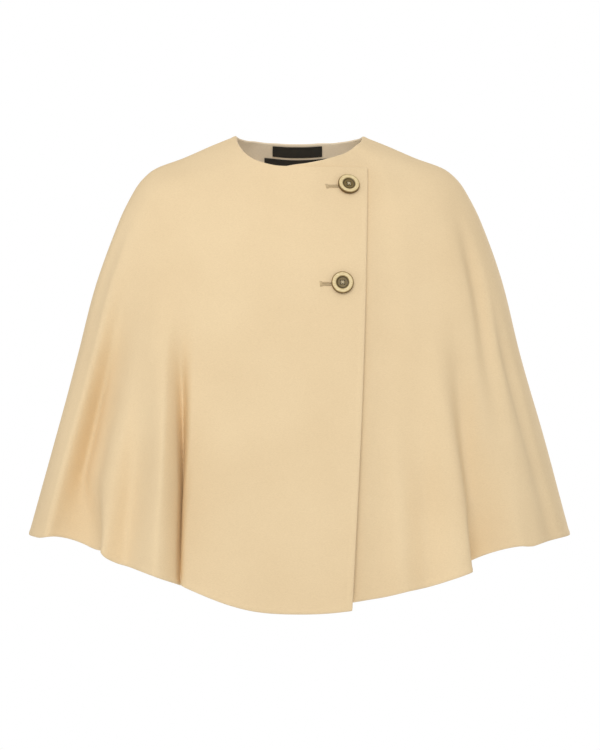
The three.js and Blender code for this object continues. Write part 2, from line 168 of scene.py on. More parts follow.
# The button's lip, as steps out from the well and down from the face, and its bowl, as steps out from the well
# and up from the well's floor
BUTTON_LIP = ((2.2, 0.02), (1.2, 0.18), (0.55, 0.6))
BUTTON_BOWL = ((0.1, 0.42), (-0.5, 0.12), (-1.3, 0.0), (-3.2, 0.04))
BUTTON_MIDDLE = {"radius": 1.2, "rise": 0.1}
BUTTON_SIDES = 72
ROUND_STEPS = 7
HOLE_SIDES = 20
DRILL = {"from": -2, "to": 8}
SHARP_DEGREES = 38
# Buttons and the buttonholes they sit in: across, height, the hole's inner end and how far below it runs
BUTTONS = [
    ("button_upper", 62.1, -69.6, 36.0, 1.7),
    ("button_lower", 53.7, -195.4, 28.2, 1.3),
]
# Labels inside the back of the neck: width, depth and distance from the neckline
LABELS = [("label_upper", 66, 15, 3.5), ("label_lower", 88, 42, 22)]
LABEL_SHIFT = -3
LABEL_THICKNESS = 0.8

# The stitches of a buttonhole: thread, spacing, reach from the slit and how far they run on under the button
STITCH = {"thread": 0.32, "sides": 6, "spacing": 0.6, "reach": 2.5, "past": 3.0}
# A stitch's places away from the slit before its end, its heights over the cloth and its unevenness
STITCH_AWAY = (0.12, 0.7, 1.5)
STITCH_HEIGHTS = (0.12, 0.3, 0.3, 0.05)
STITCH_UNEVEN = {"by": 0.07, "turn": 2.4}
# The bar across a buttonhole's inner end
BAR = {"width": 2.4, "reach": 3.3, "stitches": 6, "thicker": 1.15}
BAR_HEIGHTS = (0.0, 0.35, 0.4, 0.35, 0.0)

# The thread in a button: three strands on each of two crossing ways, which dive into the holes at their ends
SEWING = {"radius": 0.27, "sides": 8, "points": 13, "reach": 0.98, "clear": 0.12}
SEWING_RISE = {"first": 0.62, "second": 0.34, "middle_strand": 0.16}
SEWING_SPREAD = {"aside": 0.46, "closing": 0.35}
SEWING_DIVE = {"from": 0.86, "by": 8.0}

# Colours of the wool as a darker and a paler tone, and of the threads. The inner face is the same wool painted
# paler: painted light for the shaded inside of the cape
WOOL_OUTSIDE = ((0.812, 0.628, 0.386), (0.847, 0.664, 0.415))
WOOL_INSIDE_PAINTED_LIGHT = ((0.92, 0.80, 0.62), (0.94, 0.83, 0.66))
SEWING_COLOUR = (0.62, 0.52, 0.33)
BUTTONHOLE_COLOUR = (0.64, 0.48, 0.27)
THREAD_SHADE = 0.78
# Colours of a button by the share of its radius, with a painted shade ring at the foot of the lip
HORN_RINGS_AND_PAINTED_SHADE = [
    (0.0, (0.15, 0.105, 0.036)),  # sunk middle
    (0.4, (0.19, 0.135, 0.048)),
    (0.52, (0.04, 0.025, 0.008)),  # painted shade: dark ring in the crevice at the foot of the lip
    (0.58, (0.34, 0.25, 0.1)),
    (0.65, (0.8, 0.66, 0.38)),  # rim
    (0.88, (0.77, 0.62, 0.34)),
    (0.94, (0.28, 0.18, 0.065)),  # outer edge
    (1.0, (0.14, 0.085, 0.03)),
]

# The photograph's view: millimetres to a pixel in the plane of the shoulders, and its middle
PIXEL = 1.30
IMAGE_TALL = 750
CAMERA_AWAY = 3400
CAMERA_ACROSS = 0.65
CAMERA_HEIGHT = -310.7
SENSOR = 36

# The studio, in metres: the floor, the strength of the white surroundings and the lamps
FLOOR = {"height": -1.42, "radius": 3.4, "sides": 96}
WORLD_LIGHT = 0.52
WORLD_SEEN = 1.0
MIDDLE = (0, 0, -0.32)
NECK = (0, 0, -0.05)
LAMPS = [
    # name, place, what it is aimed at, size, power
    ("front", (-0.3, -2.8, 1.2), MIDDLE, 1.8, 39),
    ("left", (-2.82, -1.03, 0.2), MIDDLE, 1.6, 12),
    ("right", (2.82, -1.03, 0.2), MIDDLE, 1.6, 7),
    ("top", (0, -1.0, 2.0), NECK, 1.4, 5),
    ("back", (1.5, 2.7, 0.3), MIDDLE, 1.6, 34),
]

# Sockets of a colour mixing node
MIX_FIRST = 6
MIX_SECOND = 7
MIX_RESULT = 2


def unit(v):
    return v / np.maximum(np.linalg.norm(v, axis=-1, keepdims=True), 1e-12)


def mix(a, b, t):
    return a + (b - a) * t


def smooth(x, low, high):
    t = np.clip((x - low) / (high - low), 0, 1)
    return t * t * (3 - 2 * t)


def bump(x, middle, spread):
    """One high at its middle and gone one spread away."""
    off = (x - middle) / spread
    return np.where(np.abs(off) < 1, 0.5 + 0.5 * np.cos(np.pi * off), 0)


def turn_bump(bearing, middle, spread):
    """The same over an angle that may pass the centre back."""
    return bump((bearing - middle + 540) % 360 - 180, 0, spread)


def ring(name, share):
    """A ring column as a smooth function of the share of the way down."""
    at = RINGS[:, 0]
    value = RINGS[:, RING_COLUMNS.index(name)]
    last = len(at) - 1
    step = np.arange(last + 1)
    before = np.maximum(step - 1, 0)
    after = np.minimum(step + 1, last)
    slope = (value[after] - value[before]) / (at[after] - at[before])
    i = np.clip(np.searchsorted(at, share) - 1, 0, last - 1)
    span = at[i + 1] - at[i]
    s = (share - at[i]) / span
    start = slope[i] * span * (s**3 - 2 * s**2 + s)
    end = slope[i + 1] * span * (s**3 - s**2)
    return mix(value[i], value[i + 1], s * s * (3 - 2 * s)) + start + end


def form(bearing, share):
    """The cape without its folds."""
    sine, cosine = np.sin(np.radians(bearing)), np.cos(np.radians(bearing))
    power = 2 / ring("square", share)
    fall = np.abs(cosine) ** ring("fall", share)
    before = cosine > 0
    depth = np.where(before, -ring("front", share), ring("back", share))
    middle = np.where(before, ring("low", share), ring("rear", share))
    x = ring("half", share) * np.sign(sine) * np.abs(sine) ** power
    y = depth * np.abs(cosine) ** power
    return np.stack([x, y, mix(ring("side", share), middle, fall)], axis=-1)


def directions(surface, bearing, share):
    """The directions out of a surface and round it."""
    round_it = surface(bearing + NEAR["bearing"], share) - surface(bearing - NEAR["bearing"], share)
    down = surface(bearing, share + NEAR["share"]) - surface(bearing, share - NEAR["share"])
    return -unit(np.cross(round_it, down)), unit(round_it)


def folds_at(folds, bearing, share):
    """How far folds move a point out of the cape and round it."""
    out = np.zeros_like(bearing)
    round_it = np.zeros_like(bearing)
    for start, end, top, full, foot, depth, spread, lean in folds:
        along = np.clip((share - top) / (1 - top), 0, 1)
        swell = turn_bump(bearing, mix(start, end, along), spread)
        swell = swell * smooth(share, top, full)
        if foot < NO_FOOT:
            swell = swell * (1 - smooth(share, full, foot))
        out += depth * swell
        round_it += lean * swell
    return out, round_it


def waves_at(bearing, share):
    """Slow unevenness, the same height all the way down."""
    height = np.zeros_like(bearing)
    for size, turns, drops, phase in WAVES:
        height += size * np.sin(np.radians(bearing) * turns + 2 * np.pi * drops * share + phase)
    return height


def folded(folds, uneven, bearing, share):
    """The cape with folds, and with its slow unevenness where asked for."""
    out, round_it = directions(form, bearing, share)
    moved_out, moved_round = folds_at(folds, bearing, share)
    if uneven:
        moved_out = moved_out + waves_at(bearing, share)
    return form(bearing, share) + out * moved_out[..., None] + round_it * moved_round[..., None]


def cloth(bearing, share):
    """The cape's outer face as the solids have it."""
    bearing, share = np.broadcast_arrays(np.asarray(bearing, float), np.asarray(share, float))
    return folded(FOLDS, False, bearing, share)


def drape(bearing, share):
    """The cape's outer face with its softer creases."""
    bearing, share = np.broadcast_arrays(np.asarray(bearing, float), np.asarray(share, float))
    return folded(FOLDS + CREASES, True, bearing, share)


def bearing_across(across, share):
    """The bearing of a place so far across from the centre line."""
    reach = (np.abs(across) / ring("half", share)) ** (ring("square", share) / 2)
    return np.sign(across) * np.degrees(np.arcsin(np.minimum(reach, 1)))


def edge_bearing(share):
    """The bearing of the overlapping front's edge."""
    across = mix(OVERLAP_TOP, OVERLAP_HEM, share) + OVERLAP_BOW * np.sin(np.pi * share)
    return bearing_across(across, share)


def share_at_height(bearing_of, height):
    """The share of the way down at which the cape reaches a height."""
    high = np.full(np.shape(height), SEARCH["high"])
    low = np.full(np.shape(height), SEARCH["low"])
    for _ in range(SEARCH["halvings"]):
        middle = (high + low) / 2
        above = cloth(bearing_of(middle), middle)[..., 2] > height
        high = np.where(above, middle, high)
        low = np.where(above, low, middle)
    return low


def hem_rise(bearing):
    """How much shorter the hem hangs, as a share of the length."""
    rises = [by * turn_bump(bearing, at, spread) for at, spread, by in HEM_RISES]
    return sum(rises) / FRONT_LENGTH


def seam_degrees(share):
    """Half a seam's clear space, in degrees."""
    step = form(SIDE_SEAM + 0.5, share) - form(SIDE_SEAM - 0.5, share)
    return SEAM_GAP / 2 / np.linalg.norm(step, axis=-1)


def edged(length, step, start, end):
    """Places along a length, 0 to 1, with finer steps at the ends that are free edges."""
    first = np.array(EDGE_STEPS if start else EDGE_STEPS[:SEAM_EDGE_STEPS])
    last = np.array(EDGE_STEPS if end else EDGE_STEPS[:SEAM_EDGE_STEPS])
    inner = np.linspace(first[-1], length - last[-1], int((length - first[-1] - last[-1]) / step) + 1)
    return np.concatenate([first[:-1], inner, (length - last[:-1])[::-1]]) / length


def hem_places(start, end, step, free_start, free_end):
    """Shares of the way round that divide the folded hem as edged() says."""
    part = np.linspace(0, 1, HEM_SAMPLES)
    hem = cloth(mix(start, end, part), np.ones_like(part))
    length = np.concatenate([[0], np.cumsum(np.linalg.norm(np.diff(hem, axis=0), axis=1))])
    return np.interp(edged(length[-1], step, free_start, free_end) * length[-1], length, part)


TOP_EDGE = float(cloth(0.0, (NECK_CUT - NECK_EASE["by"]) / FRONT_LENGTH)[2])
CORNER_SHARE = float(share_at_height(edge_bearing, np.array(TOP_EDGE)))


def right_front_places(u, t):
    """Bearings and shares of the right front, from the side seam to its free edge."""
    def bearing_of(share):
        return mix(-SIDE_SEAM + seam_degrees(share), edge_bearing(share), u[:, None])

    def one_row(share):
        return bearing_of(np.broadcast_to(share, u.shape)[:, None])[:, 0]

    first = one_row(np.zeros(()))
    cut = NECK_CUT * smooth(first + SIDE_SEAM, 0, NECK_CUT_REACH)
    cut = cut - NECK_EASE["by"] * smooth(first, NECK_EASE["from"], NECK_EASE["to"])
    level = share_at_height(lambda s: mix(-SIDE_SEAM + seam_degrees(s), edge_bearing(s), u),
                            np.full(u.shape, TOP_EDGE))
    top = np.where(first > 0, level, cut / FRONT_LENGTH) + EDGE_ROUND / FRONT_LENGTH
    bottom = 1 - hem_rise(one_row(np.ones(()))) - EDGE_ROUND / FRONT_LENGTH
    share = mix(top[:, None], bottom[:, None], t[None, :])
    return bearing_of(share), share


def left_front_places(u, t):
    """Bearings and shares of the left front, from its covered edge to the side seam."""
    def row(share):
        return mix(-edge_bearing(share), SIDE_SEAM - seam_degrees(share), u)

    first = row(np.zeros(u.shape))
    last = row(np.ones(u.shape))
    covered = cloth(0.0, 0.0)[2] - np.minimum(-first * UNDERLAP_FALL, UNDERLAP_LOW)
    lift = NECK_LIFT["by"] / FRONT_LENGTH * np.sin(np.pi * np.clip(first / NECK_LIFT["reach"], 0, 1))
    top = np.where(first < 0, share_at_height(row, covered), -lift) + EDGE_ROUND / FRONT_LENGTH
    under = UNDER_RISE["by"] / FRONT_LENGTH * (1 - smooth(last, UNDER_RISE["from"], UNDER_RISE["to"]))
    bottom = 1 - hem_rise(last) - under - EDGE_ROUND / FRONT_LENGTH
    share = mix(top[:, None], bottom[:, None], t[None, :])
    return mix(-edge_bearing(share), SIDE_SEAM - seam_degrees(share), u[:, None]), share


def back_places(u, t):
    """Bearings and shares of the back, from the left side seam round to the right one."""
    ease = EDGE_ROUND / BACK_LENGTH
    share = np.broadcast_to(mix(ease, 1 - ease, t)[None, :], (len(u), len(t)))
    gap = seam_degrees(share)
    return mix(SIDE_SEAM + gap, 360 - SIDE_SEAM - gap, u[:, None]), share


def tuck(bearing, share):
    """How far the left front lies inside the cape's outer face."""
    layer = WALL + LAYER_GAP + UNDER_TUCK * share
    release = edge_bearing(np.maximum(share, CORNER_SHARE)) + TUCK_HOLD
    return layer * (1 - smooth(bearing, release, release + TUCK_REACH))


def along(points, axis):
    """Distances along a grid of points from the first one and from the last one."""
    steps = np.linalg.norm(np.diff(points, axis=axis), axis=-1)
    first = np.zeros(points.shape[:2])
    if axis == 0:
        first[1:] = np.cumsum(steps, axis=0)
        return first, first[-1:] - first
    first[:, 1:] = np.cumsum(steps, axis=1)
    return first, first[:, -1:] - first


def edge_relief(points, sides):
    """How far the outer face stands out beside its edges: sides says which are free and which are seams."""
    start, end = along(points, 0)
    top, bottom = along(points, 1)
    relief = np.zeros(points.shape[:2])
    for name, away in (("start", start), ("end", end), ("top", top), ("bottom", bottom)):
        shape = SEAM_DIP if sides[name] == "seam" else EDGE_ROLL
        rise = shape["height"] * bump(away, shape["middle"], shape["spread"])
        relief = np.where(np.abs(rise) > np.abs(relief), rise, relief)
    return relief


def new_object(name, points, faces, smooth_faces=True):
    """A mesh object from points in millimetres."""
    mesh = bpy.data.meshes.new(name)
    mesh.from_pydata((np.asarray(points) * MM).tolist(), [], faces)
    mesh.validate()
    if smooth_faces:
        mesh.polygons.foreach_set("use_smooth", np.ones(len(mesh.polygons), bool))
    obj = bpy.data.objects.new(name, mesh)
    bpy.context.scene.collection.objects.link(obj)
    return obj


def rim_loop(columns, rows):
    """The grid places round the edge of a sheet, in order."""
    top = [(i, 0) for i in range(columns - 1)]
    end = [(columns - 1, j) for j in range(rows - 1)]
    bottom = [(i, rows - 1) for i in range(columns - 1, 0, -1)]
    start = [(0, j) for j in range(rows - 1, 0, -1)]
    return np.array(top + end + bottom + start)


def edge_ways(outer, loop, sides):
    """The direction out of the sheet's edge at each place of its rim, and how round the rim is there."""
    columns, rows = outer.shape[:2]
    way = np.zeros((len(loop), 3))
    roundness = np.ones(len(loop))
    i, j = loop.T
    for name, here, di, dj in (("start", i == 0, 1, 0), ("end", i == columns - 1, -1, 0),
                               ("top", j == 0, 0, 1), ("bottom", j == rows - 1, 0, -1)):
        step = outer[i[here], j[here]] - outer[i[here] + di, j[here] + dj]
        way[here] += unit(step)
        roundness[here] = np.minimum(roundness[here], 0.0 if sides[name] == "seam" else RIM_ROUNDNESS)
    return way, roundness


def sheet_between(name, outer, inner, sides):
    """A closed thin sheet between two grids of points, with its edges rounded over."""
    columns, rows = outer.shape[:2]
    count = columns * rows
    at = np.arange(count).reshape(columns, rows)
    face = np.stack([at[:-1, :-1], at[:-1, 1:], at[1:, 1:], at[1:, :-1]], axis=-1).reshape(-1, 4)
    faces = [face, face[:, ::-1] + count]
    loop = rim_loop(columns, rows)
    i, j = loop.T
    way, roundness = edge_ways(outer, loop, sides)
    middle = (outer[i, j] + inner[i, j]) / 2
    half = (outer[i, j] - inner[i, j]) / 2
    normal = unit(half)
    way = unit(way - normal * (way * normal).sum(-1, keepdims=True))
    reach = np.linalg.norm(half, axis=-1) * roundness
    loops = [at[i, j]]
    points = [outer.reshape(-1, 3), inner.reshape(-1, 3)]
    for k, turn in enumerate(np.radians(RIM_TURNS)):
        points.append(middle + half * np.cos(turn) + way * (reach * np.sin(turn))[:, None])
        loops.append(2 * count + k * len(loop) + np.arange(len(loop)))
    loops.append(at[i, j] + count)
    for upper, lower in zip(loops[:-1], loops[1:]):
        faces.append(np.stack([upper, np.roll(upper, -1), np.roll(lower, -1), lower], axis=-1))
    obj = new_object(name, np.concatenate(points), np.concatenate(faces).tolist())
    rim = np.repeat(np.array(RIM_TURNS) / 180, len(loop))
    inside = np.concatenate([np.zeros(count), np.ones(count), rim])
    obj.data.attributes.new(INNER_FACE, "FLOAT", "POINT").data.foreach_set("value", inside)
    return obj


def out_of(bearing, share):
    """The direction out of the draped cape; both edges of a side seam take the seam's own."""
    seam = np.select([np.abs(bearing - at) < AT_SEAM for at in (SIDE_SEAM, -SIDE_SEAM, 360 - SIDE_SEAM)],
                     [SIDE_SEAM, -SIDE_SEAM, 360 - SIDE_SEAM], bearing)
    return directions(drape, seam, share)[0]


def panel(name, places, u, sides, inset):
    """One panel of the cape: its outer and inner face, laid over the drape."""
    bearing, share = places(u, edged(FRONT_LENGTH, ROW_STEP, True, True))
    out = out_of(bearing, share)
    face = drape(bearing, share) - out * inset(bearing, share)[..., None]
    relief = edge_relief(face, sides)
    outer = face + out * relief[..., None]
    inner = face - out * WALL
    return sheet_between(name, outer, inner, sides)


def no_inset(bearing, share):
    return np.zeros_like(share)


def label_sheet(name, width, depth, below):
    """A bare label lying on the inside of the back."""
    u = edged(width, LABEL_STEP["across"], True, True)
    t = edged(depth, LABEL_STEP["down"], False, False)
    share = np.broadcast_to((below + t * depth)[None, :] / BACK_LENGTH, (len(u), len(t)))
    across = ((u - 0.5) * width - LABEL_SHIFT)[:, None]
    bearing = 180 + bearing_across(across, share)
    out = out_of(bearing, share)
    lie = WALL + SEAM_GAP
    outer = drape(bearing, share) - out * lie
    inner = drape(bearing, share) - out * (lie + LABEL_THICKNESS)
    return sheet_between(name, inner[::-1], outer[::-1], free_sides())


def tube(points, radius, sides):
    """Points and faces of a thread along a line, with its ends closed."""
    points = np.asarray(points, float)
    way = unit(np.gradient(points, axis=0))
    aside = unit(np.cross(way, np.where(np.abs(way[:, 2:]) < 0.9, [[0, 0, 1.0]], [[1.0, 0, 0]])))
    up = np.cross(way, aside)
    turn = np.arange(sides) * 2 * np.pi / sides
    rings = points[:, None] + radius * (np.cos(turn)[None, :, None] * aside[:, None]
                                        + np.sin(turn)[None, :, None] * up[:, None])
    at = np.arange(len(points) * sides).reshape(len(points), sides)
    after = np.roll(at, -1, axis=1)
    faces = np.stack([at[:-1], at[1:], after[1:], after[:-1]], axis=-1).reshape(-1, 4).tolist()
    faces.append(at[0].tolist())
    faces.append(at[-1][::-1].tolist())
    return rings.reshape(-1, 3), faces


def joined(parts):
    """Points and faces of several pieces as one."""
    points, faces, count = [], [], 0
    for some_points, some_faces in parts:
        points.append(some_points)
        faces.extend([[index + count for index in face] for face in some_faces])
        count += len(some_points)
    return np.concatenate(points), faces


def place_on_cloth(across, height):
    """A point of the right front given across and up, with the directions out of it and up it."""
    across = np.atleast_1d(np.asarray(across, float))
    height = np.broadcast_to(np.asarray(height, float), across.shape)
    share = share_at_height(lambda s: bearing_across(across, s), height)
    bearing = bearing_across(across, share)
    out, along_it = directions(drape, bearing, share)
    return drape(bearing, share), out, np.cross(out, along_it)


def slit_stitches(start, end, height):
    """Stitches on both sides of a buttonhole's slit."""
    count = int((end - start) / STITCH["spacing"])
    points, out, up = place_on_cloth(np.linspace(start, end, count), height)
    rise = np.array(STITCH_HEIGHTS)[:, None]
    threads = []
    for k in range(count):
        uneven = 1 + STITCH_UNEVEN["by"] * math.sin(k * STITCH_UNEVEN["turn"])
        for side in (-1, 1):
            reach = np.array([*STITCH_AWAY, STITCH["reach"] * uneven])[:, None] * side
            line = points[k] + up[k] * reach + out[k] * rise
            threads.append(tube(line, STITCH["thread"], STITCH["sides"]))
    return threads


def bar_stitches(start, end, height):
    """The bar of stitches across a buttonhole's inner end."""
    points, out, up = place_on_cloth(np.linspace(start, end, BAR["stitches"]), height)
    reach = np.linspace(-BAR["reach"], BAR["reach"], len(BAR_HEIGHTS))[:, None]
    rise = np.array(BAR_HEIGHTS)[:, None]
    lines = [points[k] + up[k] * reach + out[k] * rise for k in range(BAR["stitches"])]
    return [tube(line, STITCH["thread"] * BAR["thicker"], STITCH["sides"]) for line in lines]


def buttonhole(name, across, height, inner_end, below):
    """A worked buttonhole: stitches on both sides of a slit and a bar at its inner end."""
    stitches = slit_stitches(inner_end, across + STITCH["past"], height - below)
    stitches += bar_stitches(inner_end - BAR["width"], inner_end, height - below)
    return new_object(name, *joined(stitches))


def button_profile():
    """Radius and height from the middle of the back round to the middle of the sunk face."""
    radius = BUTTON["diameter"] / 2
    well = BUTTON["well"] / 2
    soft = BUTTON["rim_round"]
    thick = BUTTON["thickness"]
    floor = thick - BUTTON["well_depth"]
    middle = floor + BUTTON_MIDDLE["rise"]
    inset = radius - soft
    turns = np.linspace(0, math.pi / 2, ROUND_STEPS)
    low = [(inset + soft * math.sin(turn), soft - soft * math.cos(turn)) for turn in turns]
    high = [(inset + soft * math.cos(turn), thick - soft + soft * math.sin(turn)) for turn in turns]
    lip = [(well + out, thick - down) for out, down in BUTTON_LIP]
    bowl = [(well + out, floor + up) for out, up in BUTTON_BOWL]
    return [(0, 0)] + low + high + lip + bowl + [(BUTTON_MIDDLE["radius"], middle), (0, middle)]


def lathe(profile, sides):
    """Points and faces of a profile turned round +Z, closed on the axis."""
    profile = np.array(profile)
    turn = np.arange(sides) * 2 * np.pi / sides
    inner = profile[1:-1]
    rings = np.stack([inner[:, None, 0] * np.cos(turn), inner[:, None, 0] * np.sin(turn),
                      np.broadcast_to(inner[:, None, 1], (len(inner), sides))], axis=-1)
    at = np.arange(len(inner) * sides).reshape(len(inner), sides)
    after = np.roll(at, -1, axis=1)
    faces = np.stack([at[:-1], after[:-1], after[1:], at[1:]], axis=-1).reshape(-1, 4).tolist()
    first, last = len(inner) * sides, len(inner) * sides + 1
    faces += [[first, b, a] for a, b in zip(at[0], after[0])]
    faces += [[last, a, b] for a, b in zip(at[-1], after[-1])]
    ends = np.array([[0, 0, profile[0, 1]], [0, 0, profile[-1, 1]]])
    return np.concatenate([rings.reshape(-1, 3), ends]), faces


def button_object(name):
    """A four-hole button about its own axis."""
    body = new_object(name, *lathe(button_profile(), BUTTON_SIDES))
    low, high, radius = DRILL["from"], DRILL["to"], BUTTON["hole"] / 2
    for k in range(BUTTON["holes"]):
        turn = (k + 0.5) * 2 * math.pi / BUTTON["holes"]
        middle = np.array([math.cos(turn), math.sin(turn), 0]) * BUTTON["hole_circle"] / 2
        bit = lathe([(0, low), (radius, low), (radius, high), (0, high)], HOLE_SIDES)
        drill = new_object(name + "_drill", *bit)
        drill.location = middle * MM
        cut = body.modifiers.new("hole", "BOOLEAN")
        cut.object = drill
        cut.solver = "EXACT"
        bpy.context.view_layer.update()
        mesh = bpy.data.meshes.new_from_object(body.evaluated_get(bpy.context.evaluated_depsgraph_get()))
        body.modifiers.clear()
        body.data = mesh
        bpy.data.objects.remove(drill)
    body.data.name = name
    body.data.polygons.foreach_set("use_smooth", np.ones(len(body.data.polygons), bool))
    body.data.set_sharp_from_angle(angle=math.radians(SHARP_DEGREES))
    return body


def thread_object(name):
    """The sewing thread that crosses in a button's four holes, in the button's own place."""
    base = BUTTON["thickness"] - BUTTON["well_depth"] + SEWING["clear"]
    reach = BUTTON["hole_circle"] / 2 * SEWING["reach"]
    s = np.linspace(-1, 1, SEWING["points"])
    dive = SEWING_DIVE["by"] * np.maximum(np.abs(s) - SEWING_DIVE["from"], 0)
    spread = SEWING_SPREAD["aside"] * (1 - SEWING_SPREAD["closing"] * s**2)
    strands = []
    for cross, turn in enumerate((math.pi / 4, 3 * math.pi / 4)):
        way = np.array([math.cos(turn), math.sin(turn), 0])
        aside = np.array([-math.sin(turn), math.cos(turn), 0])
        rise = SEWING_RISE["first"] + SEWING_RISE["second"] * cross
        for strand in (-1, 0, 1):
            line = way * (s * reach)[:, None] + aside * (strand * spread)[:, None]
            lift = SEWING_RISE["middle_strand"] if strand == 0 else 0
            line[:, 2] = base + rise * (1 - s**4) - dive + lift
            strands.append(tube(line, SEWING["radius"], SEWING["sides"]))
    return new_object(name, *joined(strands))


def colour(*rgb):
    return (*rgb, 1.0)


class Nodes:
    """A short way to lay out a material's nodes."""

    def __init__(self, name):
        self.material = bpy.data.materials.new(name)
        self.material.use_nodes = True
        self.tree = self.material.node_tree
        self.shader = self.tree.nodes["Principled BSDF"]

    def add(self, kind, **settings):
        node = self.tree.nodes.new(kind)
        for key, value in settings.items():
            setattr(node, key, value)
        return node

    def link(self, source, target):
        self.tree.links.new(source, target)

    def place(self, scale):
        """Places on the object, in metres times a scale for each axis."""
        where = self.add("ShaderNodeTexCoord")
        sized = self.add("ShaderNodeMapping")
        sized.inputs["Scale"].default_value = scale
        self.link(where.outputs["Object"], sized.inputs["Vector"])
        return sized.outputs["Vector"]

    def noise(self, scale, detail=3.0, rough=0.5, stretch=(1, 1, 1)):
        node = self.add("ShaderNodeTexNoise")
        node.inputs["Scale"].default_value = scale
        node.inputs["Detail"].default_value = detail
        node.inputs["Roughness"].default_value = rough
        self.link(self.place(stretch), node.inputs["Vector"])
        return node.outputs["Fac"]

    def ramp(self, factor, *stops):
        node = self.add("ShaderNodeValToRGB")
        while len(node.color_ramp.elements) < len(stops):
            node.color_ramp.elements.new(0.5)
        for element, (at, rgb) in zip(node.color_ramp.elements, stops):
            element.position = at
            element.color = colour(*rgb)
        self.link(factor, node.inputs["Fac"])
        return node.outputs["Color"]

    def mixer(self, first, second, kind):
        node = self.add("ShaderNodeMix", data_type="RGBA", blend_type=kind)
        self.link(first, node.inputs[MIX_FIRST])
        self.link(second, node.inputs[MIX_SECOND])
        return node

    def shaded(self, first, second, factor):
        """One colour darkened by another, as far as the factor says."""
        node = self.mixer(first, second, "MULTIPLY")
        node.inputs["Factor"].default_value = factor
        return node.outputs[MIX_RESULT]

    def by_face(self, outside, inside):
        """One colour on a sheet's outer face, blending round its edge into another on the inner one."""
        face = self.add("ShaderNodeAttribute", attribute_name=INNER_FACE)
        node = self.mixer(outside, inside, "MIX")
        self.link(face.outputs["Fac"], node.inputs["Factor"])
        return node.outputs[MIX_RESULT]

    def bump(self, height, distance, strength, before=None):
        node = self.add("ShaderNodeBump")
        node.inputs["Distance"].default_value = distance
        node.inputs["Strength"].default_value = strength
        self.link(height, node.inputs["Height"])
        if before is not None:
            self.link(before, node.inputs["Normal"])
        return node.outputs["Normal"]

    def finish(self, base, normal, values):
        self.link(base, self.shader.inputs["Base Color"])
        if normal is not None:
            self.link(normal, self.shader.inputs["Normal"])
        for key, value in values.items():
            self.shader.inputs[key].default_value = value
        return self.material


def wool_material():
    """Smooth napped wool: camel ground painted paler inside as painted light, soft mottling, level flecks,
    fine nap.
    """
    wool = Nodes("wool")
    mottle = wool.noise(9, 2.0)
    tones = (WOOL_OUTSIDE, WOOL_INSIDE_PAINTED_LIGHT)
    # The inner face's tone is painted light: the same wool made paler to stand in for light inside the cape
    outside, inside = [wool.ramp(mottle, (0.3, dark), (0.7, pale)) for dark, pale in tones]
    ground = wool.by_face(outside, inside)
    flecks = wool.ramp(wool.noise(420, 3.0, 0.6, (1, 1, 3.2)), (0.3, (0.93, 0.915, 0.89)), (0.62, (1, 1, 1)))
    fuzz = wool.ramp(wool.noise(1500, 2.0, 0.6), (0.3, (0.955, 0.945, 0.93)), (0.7, (1, 1, 1)))
    base = wool.shaded(wool.shaded(ground, flecks, 0.8), fuzz, 0.8)
    felt = wool.bump(wool.noise(160, 3.0, 0.55, (1, 1, 1.8)), 0.0012, 0.16)
    nap = wool.bump(wool.noise(1300, 3.0, 0.65, (1, 1, 1.7)), 0.0005, 0.22, felt)
    return wool.finish(base, nap, {
        "Roughness": 0.92,
        "Specular IOR Level": 0.2,
        "Sheen Weight": 0.08,
        "Sheen Roughness": 0.45,
        "Sheen Tint": colour(1.0, 0.9, 0.7),
    })


def horn_material():
    """Polished horn-look button: brown sunk middle, painted shade ring at the lip's foot, cream rim, brown
    edge, soft streaks.
    """
    horn = Nodes("horn")
    where = horn.add("ShaderNodeTexCoord")
    parts = horn.add("ShaderNodeSeparateXYZ")
    horn.link(where.outputs["Object"], parts.inputs["Vector"])
    flat = horn.add("ShaderNodeCombineXYZ")
    horn.link(parts.outputs["X"], flat.inputs["X"])
    horn.link(parts.outputs["Y"], flat.inputs["Y"])
    away = horn.add("ShaderNodeVectorMath", operation="LENGTH")
    horn.link(flat.outputs["Vector"], away.inputs[0])
    share = horn.add("ShaderNodeMath", operation="MULTIPLY")
    share.inputs[1].default_value = 1 / (BUTTON["diameter"] / 2 * MM)
    horn.link(away.outputs["Value"], share.inputs[0])
    # These colours include painted shade: a near-black ring at the foot of the lip
    rings = horn.ramp(share.outputs["Value"], *HORN_RINGS_AND_PAINTED_SHADE)
    streaks = horn.ramp(horn.noise(260, 4.0, 0.6, (1, 3.5, 1)), (0.32, (0.72, 0.64, 0.52)), (0.6, (1, 1, 1)))
    base = horn.shaded(rings, streaks, 0.75)
    normal = horn.bump(horn.noise(500, 2.0), 0.0002, 0.12)
    return horn.finish(base, normal, {"Roughness": 0.42, "Specular IOR Level": 0.22, "Coat Weight": 0.08})


def thread_material(name, rgb):
    """Twisted sewing thread, paler on the crown of each turn."""
    thread = Nodes(name)
    dark = tuple(THREAD_SHADE * part for part in rgb)
    base = thread.ramp(thread.noise(1900, 2.0, 0.6), (0.35, dark), (0.65, rgb))
    normal = thread.bump(thread.noise(2600, 2.0), 0.0002, 0.4)
    return thread.finish(base, normal, {"Roughness": 0.8, "Sheen Weight": 0.15})


